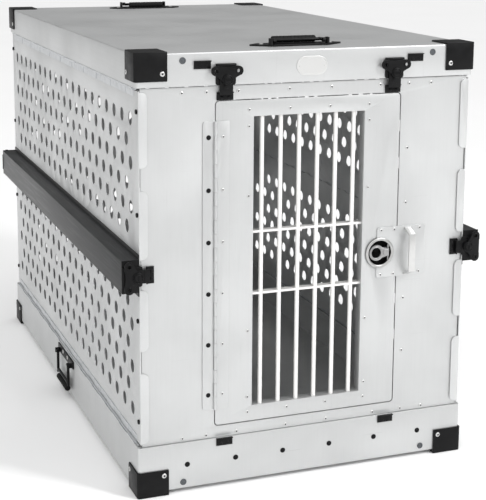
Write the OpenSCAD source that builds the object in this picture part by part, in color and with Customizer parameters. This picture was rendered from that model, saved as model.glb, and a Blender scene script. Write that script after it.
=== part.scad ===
// Collapsible sheet-aluminium dog crate: a base tray and a lid tray, perforated
// folding side walls, end panels hinged at the base, a barred door in the front
// panel, and butterfly latches that hold it all together.
// Origin: centre of the footprint, on the floor. Front faces -Y, +Z is up.

/* [Crate] */
// Width across the lid and the base
crate_w = 635; // [560:1:780]
// Depth from the front face to the rear face
crate_d = 1100; // [900:1:1340]
// Height from the floor to the top of the lid
crate_h = 780; // [700:1:960]
// Height of the lid's rim
lid_rim = 57; // [52:1:70]
// Height of the base's rim
base_rim = 84; // [80:1:105]
// Height of the feet under the base
foot_h = 8; // [5:0.5:12]

/* [Sheet] */
// Thickness of the aluminium sheet
sheet_t = 2; // [1.5:0.1:2.5]
// Radius of the upright edges of lid and base
edge_r = 5; // [4:0.5:8]
// Width of the hem along the front and rear rims
end_hem = 4; // [3.5:0.1:5]
// Width of the ledge along the side rims
side_ledge = 10; // [9:0.5:14]
// Height of the hem
hem_h = 12; // [8:1:16]
// How far the side walls stand in from the lid's sides
wall_inset = 5; // [4.5:0.1:6]
// How far the end panels stand in from the lid's front
panel_inset = 4; // [3.9:0.1:5]

/* [Side walls] */
// Diameter of the ventilation holes
vent_d = 23.5; // [16:0.5:28]
// Spacing of the holes along a row
vent_pitch = 52.4; // [44:0.1:64]
// Spacing of the rows
vent_rows = 38.5; // [34:0.1:46]
// Distance from a wall's outer hinge to its first row
vent_margin = 57; // [45:1:70]
// How far the tabs reach in front of the end panels
tab_w = 15.5; // [12:0.5:20]
// Height of the tabs next to the lid and the base
tab_outer = 135; // [90:1:160]
// Gap between the two tabs of a half wall
tab_gap = 40; // [30:1:60]
// Gap between the tabs above and below the middle hinge
tab_mid_gap = 54; // [48:1:80]
// Corner radius of the tabs
tab_r = 10; // [6:1:14]
// Barrel diameter of the wall hinges
barrel_d = 5; // [4:0.5:6]
// Length of one knuckle of the wall hinges
wall_knuckle = 50; // [30:1:80]

/* [Side rails] */
// How far the rails stand out from the walls
rail_out = 31.5; // [28:0.5:36]
// Height of the rails
rail_h = 56; // [50:1:64]
// Height of the flanges that lie on the wall
rail_flange = 9; // [6:1:14]

/* [Front panel and door] */
// Width of the door
door_w = 350; // [300:1:400]
// Height of the door's sill above the base
door_sill = 23; // [20:1:30]
// Height of the panel left above the door
door_head = 26.5; // [24:0.5:40]
// Gap around the door
door_gap = 1.8; // [1.5:0.1:2.5]
// Width of the door's sheet beside the window
window_side = 69.5; // [64:0.5:76]
// Height of the door's sheet above and below the window
window_end = 28.5; // [26:0.5:40]
// Diameter of the window's upright rods
rod_d = 8; // [6:0.5:10]
// Number of rods
rod_count = 6; // [4:1:8]
// Spacing of the rods
rod_pitch = 35; // [26:0.5:40]
// Distance between the two cross bars
bar_span = 112; // [90:1:160]
// Distance from the door hinge's ends to the door's corners
hinge_end = 32; // [26:1:60]
// Barrel diameter of the door hinge
door_barrel_d = 6; // [5:0.5:8]
// Number of knuckles of the door hinge
door_knuckles = 21; // [11:2:31]

/* [Lock] */
// Width of the lock plate
lock_w = 98; // [84:1:110]
// Height of the lock plate
lock_h = 94; // [80:1:110]
// Diameter of the round slam latch's bezel
slam_d = 56; // [54:1:66]
// Depth of the slam latch's cup
slam_depth = 14; // [12:1:20]
// Travel of the bolt
bolt_travel = 8; // [5:0.5:9]
// How far the pull handle stands out
pull_out = 22; // [18:1:30]

/* [Latches] */
// Distance from the side of the crate to a lid latch
latch_edge = 158.5; // [140:0.5:170]
// Distance from a latch's pivot to its keeper, on the lid
lid_reach = 22; // [20:0.5:26]
// Distance from a latch's pivot to its keeper, on the rails
rail_reach = 17.5; // [17:0.5:20]
// Travel of the hooks
hook_travel = 6; // [4:0.5:6]
// Radius of the wings' lobes
lobe_r = 8.5; // [7:0.5:10]
// Width of a hook
hook_w = 24; // [20:1:28]
// Width of a keeper
keeper_w = 30; // [26:1:34]
// Height of a keeper
keeper_h = 14; // [12:0.5:14]

/* [Handles] */
// Length of the handles' grips
grip_l = 84; // [76:1:100]
// Diameter of the grips
grip_d = 12; // [11:0.5:15]
// Reach of the top handles' bails
top_bail = 27; // [24:1:34]
// Reach of the side handles' bails
side_bail = 54; // [40:1:60]
// Distance of a top handle from the lid's front or rear edge
top_handle_in = 70; // [60:1:120]

/* [Corners] */
// Length of the corner caps along the edges
cap_l = 58; // [48:1:64]
// Height of the corner caps
cap_h = 47; // [40:1:50]
// Wall thickness of the corner caps
cap_t = 3; // [2.5:0.1:4]

/* [Hidden] */
$fn = 48;

alu = "#d4d6d8";
alu_dark = "#b9bcbf";
black = "#1c1d1f";
rail_grey = "#46484b";

// outer faces and levels
hw = crate_w / 2;
hd = crate_d / 2;
base_top = foot_h + base_rim;
lid_bot = crate_h - lid_rim;
mid_drop = 5;                                  // middle hinge below the walls' centre
mid_z = (base_top + lid_bot) / 2 - mid_drop;
wall_x = hw - wall_inset;                      // outer face of the side walls
panel_y = hd - panel_inset;                    // outer face of the end panels
tab_y = panel_y + 0.3 + sheet_t;               // outer face of the walls' tabs
panel_hw = wall_x - sheet_t - 1.5;             // half width of the end panels
panel_z0 = base_top + 0.5;
panel_z1 = lid_bot - 1.5;
wall_z0 = base_top + barrel_d + 0.3;
wall_z1 = lid_bot - barrel_d - 0.3;
fold_gap = 0.3;                                // half the gap between the half walls
fold_slot = 2;

// side rails
rail_x0 = wall_x;
rail_x1 = wall_x + rail_out;
rail_end = 2;                                  // thickness of the rails' end plates

// door
door_z0 = base_top + door_sill;
door_z1 = panel_z1 - door_head;
door_h = door_z1 - door_z0;
window_w = door_w - 2 * window_side;
window_h = door_h - 2 * window_end;
door_hinge_l = door_h - 2 * hinge_end;
door_mid = (door_z0 + door_z1) / 2 - 1.5;      // height of the lock and the hinge's centre
hinge_x = -door_w / 2 - door_gap / 2;          // door hinge axis
hinge_y = -(panel_y + door_barrel_d / 2);
leaf_t = 1.5;
frame_leaf_w = 23;
door_leaf_w = 25;
grille_w = 20;                                 // width of the frame strips round the window
window_r = 1.5;
lining_t = 1.5;
lining_deep = 16;                              // how far the window's lining runs inwards
rod_y = panel_y - 2 * sheet_t - rod_d / 2;
bar_t = 4;
bar_deep = 15;
bar_in = 1;                                    // cross bars' edge behind the rods' fronts
rod_fit = 0.1;                                 // the bars' holes are this much wider

// lock
lock_x0 = door_w / 2 - 40;                     // inner edge of the lock plate
lock_t = 1.7;
slam_x = door_w / 2 - 34;                      // centre of the slam latch
cup_r = slam_d / 2 - 3.5;
paddle_x = slam_x + 17.5;                      // paddle's pivot
pin_half = sqrt(pow(cup_r, 2) - pow(paddle_x - slam_x, 2)) - 1.5;
pull_x = door_w / 2 + 21;
pull_w = 13;
pull_l = 90;

// latches
latch_x = hw - latch_edge;
lid_hub_z = lid_bot + 10;
keeper_lip = 1.5;                              // thickness of a keeper's lip
panel_keeper_z = lid_hub_z - lid_reach;        // top of the end panels' keepers
rail_hub_x = hw + 0.5;
rail_keeper_x = rail_hub_x - rail_reach;       // outer edge of the rail latches' keepers
wing_u = 7;                                    // underside of the wings above the face
wing_t = 3;
hook_u = 2.3;                                  // underside of a hook above the face
hook_t = 2.5;
post_r = 3;
post_top = wing_u + wing_t;
lobe_x = 20;
lobe_z = 15;
stack_x = latch_x + 42;                        // stacking keepers on the lid

wing_top = wing_u + wing_t + 2.1;              // how far the wings' hubs stand out

// the pull handle reaches further than the rear latches, so all is moved to centre it
centre_y = (panel_y + lock_t + pull_out - hd - wing_top) / 2;

// end panel hinges
panel_pin_y = panel_y - sheet_t - 2.5;
panel_pin_z = base_top + 3.2;
bracket_x = [46, 137, 228];                    // rivets of an end panel's hinge
bracket_w = 202;

// handles
bracket_l = 176;
bracket_d = 41;
ear_x = grip_l / 2 + 6;
top_pivot_y = hd - top_handle_in + 12;
top_pivot_h = 6.4;                             // pivot above the bracket plate
top_pivot_z = crate_h + 3 + top_pivot_h;
side_pivot_z = base_top - 15;
side_pivot_x = hw + 3 + 5;

// ---------- helpers ----------

// outline with round corners
module round_rect(w, h, r) {
    square([w - 2 * r, h], center = true);
    square([w, h - 2 * r], center = true);
    for (sx = [-1, 1], sy = [-1, 1])
        translate([sx * (w / 2 - r), sy * (h / 2 - r)]) circle(r);
}

// an outline drawn in X and Z becomes a plate standing at y = -y0, grown to the front
module front_face(y0) translate([0, -y0, 0]) rotate([90, 0, 0]) children();

// an outline drawn in Y and Z becomes a plate standing at x = x0, grown outwards
module side_face(x0) translate([x0, 0, 0]) rotate([90, 0, 90]) children();

module both_ends() {
    children();
    mirror([0, 1, 0]) children();
}

module both_sides() {
    children();
    mirror([1, 0, 0]) children();
}

// moves a finished sub-part so that the whole crate is centred on the origin
module centred() translate([0, centre_y, 0]) children();

// rivet head on a front face
module rivet(r = 3.4) cylinder(h = 1.2, r1 = r, r2 = r * 0.62);

// ---------- trays ----------

module tray_outline(in) round_rect(crate_w - 2 * in, crate_d - 2 * in,
    max(edge_r - in, 1));

// open box with a hem round its rim, standing on z = 0
module tray(rim) {
    difference() {
        linear_extrude(rim) tray_outline(0);
        translate([0, 0, sheet_t]) linear_extrude(rim - sheet_t - hem_h) tray_outline(sheet_t);
        translate([0, 0, rim - hem_h - 1]) linear_extrude(hem_h + 2)
            square([crate_w - 2 * side_ledge, crate_d - 2 * end_hem], center = true);
    }
}

module base_tray() color(alu) centred() translate([0, 0, foot_h]) tray(base_rim);

module lid_tray() color(alu) centred() translate([0, 0, crate_h]) mirror([0, 0, 1]) tray(lid_rim);

// ---------- side walls ----------

// rows of staggered holes: even rows have a hole at each pitch, odd rows lie between
module vents(length, height) {
    cols = floor((length - 2 * 44) / vent_pitch) + 1;
    rows = floor((height - vent_margin - 50) / vent_rows) + 1;
    for (r = [0 : rows - 1], c = [0 : cols - 1 - r % 2])
        translate([(c - (cols - 1 - r % 2) / 2) * vent_pitch, vent_margin + r * vent_rows])
            circle(d = vent_d);
}

// square at the wall, round at its free corners
module tab(h) intersection() {
    square([tab_w, h]);
    translate([0, h / 2]) round_rect(2 * tab_w, h, tab_r);
}

// one half wall on the right side; grows up from its outer hinge at z = 0
module half_wall(height, hinge_gap) {
    tab2 = tab_outer + tab_gap;
    side_face(wall_x - sheet_t) linear_extrude(sheet_t) difference() {
        translate([-tab_y, hinge_gap]) square([2 * tab_y, height - hinge_gap - fold_gap]);
        vents(crate_d, height);
        // slots along the middle hinge, over every knuckle
        for (i = [0 : hinge_count - 1])
            translate([(i - hinge_count / 2 + 0.25) * wall_knuckle, height - fold_gap - fold_slot])
                square([wall_knuckle / 2, fold_slot + 1]);
    }
    both_ends() front_face(tab_y - sheet_t) linear_extrude(sheet_t)
        translate([wall_x, 0]) mirror([1, 0]) {
            translate([0, hinge_gap + 2]) tab(tab_outer - hinge_gap - 2);
            translate([0, tab2]) tab(height - tab2 - tab_mid_gap / 2);
        }
}

module lower_wall() translate([0, 0, base_top])
    half_wall(mid_z - base_top, wall_z0 - base_top);
module upper_wall() translate([0, 0, lid_bot]) mirror([0, 0, 1])
    half_wall(lid_bot - mid_z, lid_bot - wall_z1);

module right_lower_wall() color(alu) centred() lower_wall();
module right_upper_wall() color(alu) centred() upper_wall();
module left_lower_wall() color(alu) centred() mirror([1, 0, 0]) lower_wall();
module left_upper_wall() color(alu) centred() mirror([1, 0, 0]) upper_wall();

// ---------- wall hinges ----------

hinge_l = 2 * tab_y - 20;
hinge_count = floor(hinge_l / wall_knuckle);
outer_pin_x = wall_x + 1.5;                    // hinges at the lid and the base
middle_pin_x = wall_x + barrel_d / 2;

// one leaf along Y: its knuckles round the axis, its strip from x0 to x0 + w and z0 to
// z0 + h, and a link from the strip to each of its own knuckles
module wall_leaf(first, x0, z0, w, h) difference() {
    union() {
        for (i = [first : 2 : hinge_count - 1])
            translate([0, (i - hinge_count / 2) * wall_knuckle + 0.25, 0]) {
                rotate([-90, 0, 0]) cylinder(h = wall_knuckle - 0.5, d = barrel_d);
                translate([min(x0, 0), 0, min(z0, 0)])
                    cube([max(x0 + w, 0) - min(x0, 0), wall_knuckle - 0.5,
                          max(z0 + h, 0) - min(z0, 0)]);
            }
        translate([x0, -hinge_count * wall_knuckle / 2, z0])
            cube([w, hinge_count * wall_knuckle, h]);
    }
    rotate([90, 0, 0]) cylinder(h = hinge_l + 2, d = barrel_d / 2, center = true);
}

barrel_r = barrel_d / 2;
leaf_h = 11;                                   // width of a leaf on the wall

// one leaf flat on the rim's ledge, one standing on the outside of the wall
module rim_hinge() {
    wall_leaf(0, barrel_r + 0.2, -barrel_r, 1.3, 0.8);
    wall_leaf(1, wall_x - outer_pin_x, barrel_r + 0.2, 0.8, leaf_h);
}

module wall_hinge_leaves() color(alu_dark) centred() both_sides() {
    translate([outer_pin_x, 0, base_top + barrel_r]) rim_hinge();
    translate([outer_pin_x, 0, lid_bot - barrel_r]) mirror([0, 0, 1]) rim_hinge();
    // middle hinge, outside the wall, under the rail
    translate([middle_pin_x, 0, mid_z]) {
        wall_leaf(0, wall_x - middle_pin_x, barrel_r + 0.2, 0.8, leaf_h);
        mirror([0, 0, 1]) wall_leaf(1, wall_x - middle_pin_x, barrel_r + 0.2, 0.8, leaf_h);
    }
}

module wall_hinge_pins() color(alu_dark) centred() both_sides()
    for (p = [[outer_pin_x, base_top + barrel_d / 2], [outer_pin_x, lid_bot - barrel_d / 2],
              [middle_pin_x, mid_z]])
        translate([p[0], 0, p[1]]) rotate([90, 0, 0])
            cylinder(h = hinge_l, d = barrel_d / 2, center = true);

// ---------- side rails ----------

rail_z0 = mid_z - rail_h / 2;
rail_z1 = mid_z + rail_h / 2;

// section of the channel over the middle hinge, with a flange above and below on the wall
module rail_section() {
    difference() {
        translate([rail_x0, rail_z0]) square([rail_out, rail_h]);
        translate([rail_x0 - 1, rail_z0 + sheet_t])
            square([rail_out + 1 - sheet_t, rail_h - 2 * sheet_t]);
    }
    for (z = [rail_z0 - rail_flange, rail_z1])
        translate([rail_x0, z]) square([sheet_t, rail_flange]);
}

// the section above is drawn in X and Z; this stands it along Y
module along_y(length) rotate([90, 0, 0]) translate([0, 0, -length / 2])
    linear_extrude(length) children();

module right_side_rail() color(rail_grey) centred() along_y(crate_d - 2 * rail_end) rail_section();
module left_side_rail() color(rail_grey) centred() mirror([1, 0, 0])
    along_y(crate_d - 2 * rail_end) rail_section();

module rail_end_plates() color(black) centred() both_sides() both_ends()
    front_face(hd - rail_end) linear_extrude(rail_end)
        translate([rail_x0 + 0.5, rail_z0 - 1]) square([rail_out - 0.5, rail_h + 2]);

// ---------- corner caps ----------

// shell over one lower corner of the crate, with a foot
module bottom_cap() difference() {
    translate([hw + cap_t - cap_l, hd + cap_t - cap_l, 0]) difference() {
        cube([cap_l, cap_l, cap_h]);
        cap_chamfer();
    }
    translate([0, 0, foot_h]) linear_extrude(crate_h) tray_outline(0);
}

// takes off the upright corner
module cap_chamfer() translate([cap_l, cap_l, -1]) rotate([0, 0, 45])
    cube([5, 5, 3 * cap_h], center = true);

module top_cap() difference() {
    translate([hw + cap_t - cap_l, hd + cap_t - cap_l, 0]) difference() {
        cube([cap_l, cap_l, cap_h + cap_t]);
        cap_chamfer();
    }
    translate([0, 0, cap_t]) linear_extrude(crate_h) tray_outline(0);
}

module bottom_corner_caps() color(black) centred() both_sides() both_ends() bottom_cap();
module top_corner_caps() color(black) centred() both_sides() both_ends()
    translate([0, 0, crate_h + cap_t]) mirror([0, 0, 1]) top_cap();

// ---------- buttons, name plate, keepers ----------

button_y = hd - 10;

module nylon_buttons() color(black) centred() both_sides() both_ends() {
    // stop buttons near the front and rear edges of the walls
    for (z = [lid_bot - 40, mid_z + 104, mid_z - 82, base_top + 46])
        side_face(wall_x) translate([button_y, z, 0]) cylinder(h = 3, r = 4.2);
    // round plugs in the rims
    for (z = [crate_h - 13, foot_h + 11])
        front_face(hd) translate([hw - 82, z, 0]) cylinder(h = 1, r = 5.6);
}

module name_plate() color("#e8eaec") centred() front_face(hd) linear_extrude(1)
    translate([0, crate_h - 29]) round_rect(58, 33, 16);

// plate with a lip bent out along its top edge; its top edge is at the origin
module keeper() {
    translate([-keeper_w / 2, -keeper_h, 0]) cube([keeper_w, keeper_h, 2]);
    translate([-keeper_w / 2, -keeper_lip, 0]) cube([keeper_w, keeper_lip, 5.3]);
    for (x = [-6.4, 6.4]) translate([x, 4 - keeper_h, 2]) rivet(3.2);
}

module shell_keepers() color(black) centred() both_sides() both_ends() {
    front_face(hd) translate([stack_x, crate_h - 14, 0]) keeper();
    front_face(hd) translate([latch_x, base_top, 0]) keeper();
}

// ---------- butterfly latches ----------
// drawn in X and Y with the pivot at the origin and the keeper below it; z is outwards

module latch_plate() {
    difference() {
        union() {
            translate([-18, -10, 0]) cube([36, 30, 2]);
            translate([-18, 16, 0]) cube([36, 11, 5]);
        }
        cylinder(h = 20, r = post_r, center = true);
    }
    cylinder(h = post_top, r = post_r);
}

module bar(p, q, r) {
    d = q - p;
    translate(p) rotate(atan2(d[1], d[0])) translate([0, -r]) square([norm(d), 2 * r]);
}

module wings_outline() {
    a = [-lobe_x, lobe_z];
    b = [lobe_x, lobe_z];
    for (p = [a, b, [0, 0]]) translate(p) circle(lobe_r);
    bar(a, b, lobe_r);
    bar([0, 0], a, lobe_r);
    bar([0, 0], b, lobe_r);
    polygon([[0, 0], a, b]);
}

module wings() difference() {
    union() {
        translate([0, 0, wing_u]) linear_extrude(wing_t) wings_outline();
        translate([0, 0, hook_u + hook_t + 0.3])
            cylinder(h = wing_top - hook_u - hook_t - 0.3, r = lobe_r + 0.7);
    }
    for (x = [-lobe_x, lobe_x]) translate([x, lobe_z, 0]) cylinder(h = 40, r = 3);
    translate([0, 0, -1]) cylinder(h = post_top + 1.3, r = post_r + 0.05);
}

// strap from the pivot to the keeper, with a toe under the keeper's lip
module hook(reach, drop) {
    toe_z = -reach - keeper_lip - 0.3 - 2.7;
    difference() {
        translate([-hook_w / 2, toe_z, hook_u]) cube([hook_w, 10 - toe_z, hook_t]);
        // slot round the pivot post
        translate([0, 0, hook_u - 1]) linear_extrude(hook_t + 2) {
            circle(post_r + 0.3);
            translate([0, hook_travel]) circle(post_r + 0.3);
            translate([-post_r - 0.3, 0]) square([2 * post_r + 0.6, hook_travel]);
        }
    }
    translate([-hook_w / 2, toe_z, 3.5 - drop]) cube([hook_w, 2.7, hook_u - 3.5 + drop + 0.5]);
}

module at_lid_latch() front_face(hd) translate([latch_x, lid_hub_z, 0]) children();
module at_rail_latch() front_face(hd) translate([rail_hub_x, mid_z, 0])
    rotate([0, 0, -90]) children();

module latch_plates() color(black) centred() both_sides() both_ends() {
    at_lid_latch() latch_plate();
    at_rail_latch() latch_plate();
}

module lid_wings() at_lid_latch() wings();
module rail_wings() at_rail_latch() wings();
module lid_hook() at_lid_latch() hook(lid_reach, panel_inset);
module rail_hook() at_rail_latch() hook(rail_reach, panel_inset);

module lid_latch_wings_front_right() color(black) centred() lid_wings();
module lid_latch_wings_front_left() color(black) centred() mirror([1, 0, 0]) lid_wings();
module lid_latch_wings_rear_right() color(black) centred() mirror([0, 1, 0]) lid_wings();
module lid_latch_wings_rear_left() color(black) centred() mirror([1, 0, 0]) mirror([0, 1, 0]) lid_wings();
module rail_latch_wings_front_right() color(black) centred() rail_wings();
module rail_latch_wings_front_left() color(black) centred() mirror([1, 0, 0]) rail_wings();
module rail_latch_wings_rear_right() color(black) centred() mirror([0, 1, 0]) rail_wings();
module rail_latch_wings_rear_left() color(black) centred() mirror([1, 0, 0]) mirror([0, 1, 0]) rail_wings();
module lid_latch_hook_front_right() color(black) centred() lid_hook();
module lid_latch_hook_front_left() color(black) centred() mirror([1, 0, 0]) lid_hook();
module lid_latch_hook_rear_right() color(black) centred() mirror([0, 1, 0]) lid_hook();
module lid_latch_hook_rear_left() color(black) centred() mirror([1, 0, 0]) mirror([0, 1, 0]) lid_hook();
module rail_latch_hook_front_right() color(black) centred() rail_hook();
module rail_latch_hook_front_left() color(black) centred() mirror([1, 0, 0]) rail_hook();
module rail_latch_hook_rear_right() color(black) centred() mirror([0, 1, 0]) rail_hook();
module rail_latch_hook_rear_left() color(black) centred() mirror([1, 0, 0]) mirror([0, 1, 0]) rail_hook();

// ---------- handles ----------

// pressed plate with tapered ends and two eared pivots; lies in XY, pivot along X
module handle_bracket(pivot_h) {
    linear_extrude(3) polygon([[-bracket_l / 2, 4], [-bracket_l / 2 + 36, -bracket_d / 2],
        [bracket_l / 2 - 36, -bracket_d / 2], [bracket_l / 2, 4], [bracket_l / 2 - 20, bracket_d / 2],
        [-bracket_l / 2 + 20, bracket_d / 2]]);
    for (x = [-bracket_l / 2 + 22, bracket_l / 2 - 22]) translate([x, 4, 3]) rivet(4);
    for (s = [-1, 1]) translate([s * (ear_x + 6.5), -12, 0]) {
        difference() {
            translate([-2, -5, 0]) cube([4, 10, 3 + pivot_h + 4.5]);
            translate([0, 0, 3 + pivot_h]) rotate([0, 90, 0])
                cylinder(h = 10, r = 2, center = true);
        }
        translate([s * -3, 0, 3 + pivot_h]) rotate([0, 90, 0])
            cylinder(h = 11, r = 2, center = true);
    }
}

// bail lying along +Y from its pivot, which is the X axis, with a grip across its end
module bail(reach) {
    for (s = [-1, 1]) translate([s * (ear_x - 0.5), 0, 0]) difference() {
        union() {
            translate([-3, 0, -3]) cube([6, reach, 6]);
            rotate([0, 90, 0]) cylinder(h = 6, r = 4, center = true);
        }
        rotate([0, 90, 0]) cylinder(h = 8, r = 2.05, center = true);
    }
    translate([0, reach, 0]) rotate([0, 90, 0]) {
        cylinder(h = grip_l, d = grip_d, center = true);
        cylinder(h = 2 * ear_x + 5, r = 3, center = true);
    }
}

// side handles: a bar bracket along the top, the bail hangs below it
module side_bracket() {
    translate([-bracket_l / 2 + 20, -4, 0]) cube([bracket_l - 40, 16, 3]);
    for (s = [-1, 1]) translate([s * (ear_x + 6.5), 0, 0]) {
        difference() {
            translate([-2, -5, 0]) cube([4, 10, 12.5]);
            translate([0, 0, 8]) rotate([0, 90, 0]) cylinder(h = 10, r = 2, center = true);
        }
        translate([s * -3, 0, 8]) rotate([0, 90, 0]) cylinder(h = 11, r = 2, center = true);
    }
    for (x = [-20, 20]) translate([x, 6, 3]) rivet(4);
}

module handle_brackets() color(black) centred() {
    both_ends() translate([0, -(top_pivot_y - 12), crate_h]) handle_bracket(top_pivot_h);
    both_sides() side_face(hw) translate([0, side_pivot_z, 0]) side_bracket();
}

module front_top_handle() color(black) centred()
    translate([0, -top_pivot_y, top_pivot_z]) bail(top_bail);
module rear_top_handle() color(black) centred() mirror([0, 1, 0])
    translate([0, -top_pivot_y, top_pivot_z]) bail(top_bail);
module right_side_handle() color(black) centred() translate([side_pivot_x, 0, side_pivot_z])
    rotate([0, 0, 90]) rotate([-90, 0, 0]) bail(side_bail);
module left_side_handle() color(black) centred() mirror([1, 0, 0])
    translate([side_pivot_x, 0, side_pivot_z]) rotate([0, 0, 90]) rotate([-90, 0, 0])
        bail(side_bail);

// ---------- rivets on the shell ----------

module shell_rivets() color(alu_dark) centred() {
    both_sides() both_ends() {
        // corner caps
        for (z = [crate_h - 34, 37]) {
            front_face(hd + cap_t) translate([hw - 46, z, 0]) rivet();
            side_face(hw + cap_t) translate([hd - 46, z, 0]) rivet();
        }
        // end panel hinges, through the base's rim
        for (x = bracket_x) front_face(hd) translate([x, base_top - 41, 0]) rivet(4.4);
    }
}

// ---------- end panel hinges ----------

module panel_barrel(x0, x1, bore) translate([x0, 0, 0]) rotate([0, 90, 0]) difference() {
    cylinder(h = x1 - x0, r = 2.5);
    translate([0, 0, -1]) cylinder(h = x1 - x0 + 2, r = bore);
}

bracket_x0 = bracket_x[0] - 10;
bracket_x1 = bracket_x0 + bracket_w;
bracket_step = bracket_w / 3;                  // outer knuckles on the base, middle on the panel

// base leaf, cranked from the rim's wall to the pin; local origin is the pin
module base_leaf() {
    rim_y = hd - sheet_t - panel_pin_y;
    for (x = [bracket_x0, bracket_x1 - bracket_step])
        panel_barrel(x, x + bracket_step - 0.4, 1.2);
    rotate([90, 0, 90]) translate([0, 0, bracket_x0]) linear_extrude(bracket_step - 0.4)
        leaf_section(rim_y);
    rotate([90, 0, 90]) translate([0, 0, bracket_x1 - bracket_step])
        linear_extrude(bracket_step - 0.4) leaf_section(rim_y);
    rotate([90, 0, 90]) translate([0, 0, bracket_x0]) linear_extrude(bracket_w - 0.4)
        polygon([[-rim_y, -52], [-rim_y + 1.5, -52], [-rim_y + 1.5, -20], [-rim_y, -20]]);
    translate([bracket_x0, 0, 0]) rotate([0, 90, 0]) cylinder(h = bracket_w - 0.4, r = 1.2);
}

module leaf_section(rim_y) polygon([[-rim_y, -22], [-rim_y + 1.5, -22], [-1, -12], [-1, -2.1],
    [-2.5, -0.5], [-2.5, -12]]);

module panel_hinge_base_leaves() color(alu_dark) centred() both_sides() both_ends()
    translate([0, -panel_pin_y, panel_pin_z]) base_leaf();

// leaf on the panel: the middle knuckle and a strip up the panel's inner face
module panel_leaf() {
    panel_barrel(bracket_x0 + bracket_step, bracket_x1 - bracket_step - 0.4, 1.25);
    translate([bracket_x0 + bracket_step, -2.5, 0.6]) cube([bracket_step - 0.4, 1.2, 12]);
    translate([bracket_x0, -2.5, 4]) cube([bracket_w - 0.4, 1.2, 12]);
}

module front_panel_hinge_leaves() color(alu_dark) centred() both_sides()
    translate([0, -panel_pin_y, panel_pin_z]) panel_leaf();

// ---------- front panel ----------

module panel_outline() translate([-panel_hw, panel_z0])
    square([2 * panel_hw, panel_z1 - panel_z0]);

module door_outline(grow) translate([0, (door_z0 + door_z1) / 2])
    round_rect(door_w + 2 * grow, door_h + 2 * grow, 6 + grow);

module front_panel() color(alu) centred() front_face(panel_y - sheet_t) linear_extrude(sheet_t)
    difference() {
        panel_outline();
        door_outline(door_gap);
    }

// angle along X behind a panel, its leg along the lower edge
module angle_x(z, half_w, high, deep) translate([-half_w, -panel_y + sheet_t, z]) {
    cube([2 * half_w, 1.5, high]);
    cube([2 * half_w, deep, 1.5]);
}

module top_angle() angle_x(panel_z1 - 17, panel_hw - 14, 14, 14);

strike_x = door_w / 2 + 16.5;
strike_l = door_hinge_l - 106;

module front_panel_stiffeners() color(alu) centred() {
    top_angle();
    translate([strike_x - 7, -panel_y + sheet_t, door_mid - strike_l / 2]) {
        cube([14, 1.5, strike_l]);
        translate([12.5, 0, 0]) cube([1.5, 12, strike_l]);
    }
}

module panel_keepers() {
    both_sides() {
        translate([latch_x, panel_keeper_z, 0]) keeper();
        translate([rail_keeper_x, mid_z, 0]) rotate([0, 0, -90]) keeper();
    }
}

module front_panel_keepers() color(black) centred() front_face(panel_y) panel_keepers();

row_x = [hw - 81.5, hw - 125.5, 134.5, 40];    // rivets along the panel's top and bottom
leaf_rivets = [for (i = [-2.5 : 2.5]) door_mid + i * door_hinge_l / 5.6];

module end_row_rivets() both_sides() for (x = row_x, z = [panel_z0 + 6, panel_z1 - 10])
    translate([x, z, 0]) rivet();

module front_panel_rivets() color(alu_dark) centred() front_face(panel_y) {
    end_row_rivets();
    for (z = [-191, -90, 90, 191]) translate([strike_x, door_mid + z, 0]) rivet();
    for (z = leaf_rivets) translate([hinge_x - 12.5, z, leaf_t]) rivet(4);
}

// ---------- door hinge ----------

knuckle = door_hinge_l / door_knuckles;
hinge_z0 = door_mid - door_hinge_l / 2;

module door_leaf(first, x0, w, bore) difference() {
    union() {
        translate([hinge_x, hinge_y, hinge_z0])
            for (i = [first : 2 : door_knuckles - 1])
                translate([0, 0, i * knuckle + 0.2])
                    cylinder(h = knuckle - 0.4, d = door_barrel_d);
        translate([x0, -panel_y - leaf_t, hinge_z0]) cube([w, leaf_t, door_hinge_l]);
        // the strip runs in under its own knuckles only
        for (i = [first : 2 : door_knuckles - 1])
            translate([min(x0, hinge_x), -panel_y - leaf_t, hinge_z0 + i * knuckle + 0.2])
                cube([max(x0 + w, hinge_x) - min(x0, hinge_x), leaf_t, knuckle - 0.4]);
    }
    translate([hinge_x, hinge_y, hinge_z0 - 1]) cylinder(h = door_hinge_l + 2, r = bore);
}

module door_hinge_frame_leaf() color(alu_dark) centred()
    door_leaf(0, hinge_x - frame_leaf_w, frame_leaf_w - door_barrel_d / 2 - 0.3, 1.5);
module door_hinge_door_leaf() color(alu_dark) centred()
    door_leaf(1, hinge_x + door_barrel_d / 2 + 0.3, door_leaf_w - door_barrel_d / 2, 1.55);
module door_hinge_pin() color(alu_dark) centred() translate([hinge_x, hinge_y, hinge_z0])
    cylinder(h = door_hinge_l, r = 1.5);

// ---------- door ----------

module window_outline(grow) translate([0, (door_z0 + door_z1) / 2])
    round_rect(window_w + 2 * grow, window_h + 2 * grow, window_r + grow);

module door_panel() color(alu) centred() front_face(panel_y - sheet_t) linear_extrude(sheet_t)
    difference() {
        door_outline(0);
        window_outline(0);
        translate([slam_x, door_mid]) circle(cup_r + 0.3);
    }

// strips round the window, behind the door's sheet, cut away round the latch, with a
// lining that runs inwards all round
module grille_frame() color(alu) centred() {
    front_face(panel_y - 2 * sheet_t) linear_extrude(sheet_t) difference() {
        window_outline(grille_w);
        window_outline(0);
        translate([slam_x, door_mid]) circle(cup_r + 1);
    }
    front_face(panel_y - 2 * sheet_t - lining_deep) linear_extrude(lining_deep + 1)
        difference() {
            window_outline(lining_t);
            window_outline(0);
        }
}

rod_x = [for (i = [0 : rod_count - 1]) (i - (rod_count - 1) / 2) * rod_pitch];
window_mid = (door_z0 + door_z1) / 2;

module grille_rods() color(alu) centred() for (x = rod_x)
    translate([x, -rod_y, window_mid - window_h / 2]) cylinder(h = window_h, d = rod_d);

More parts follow.
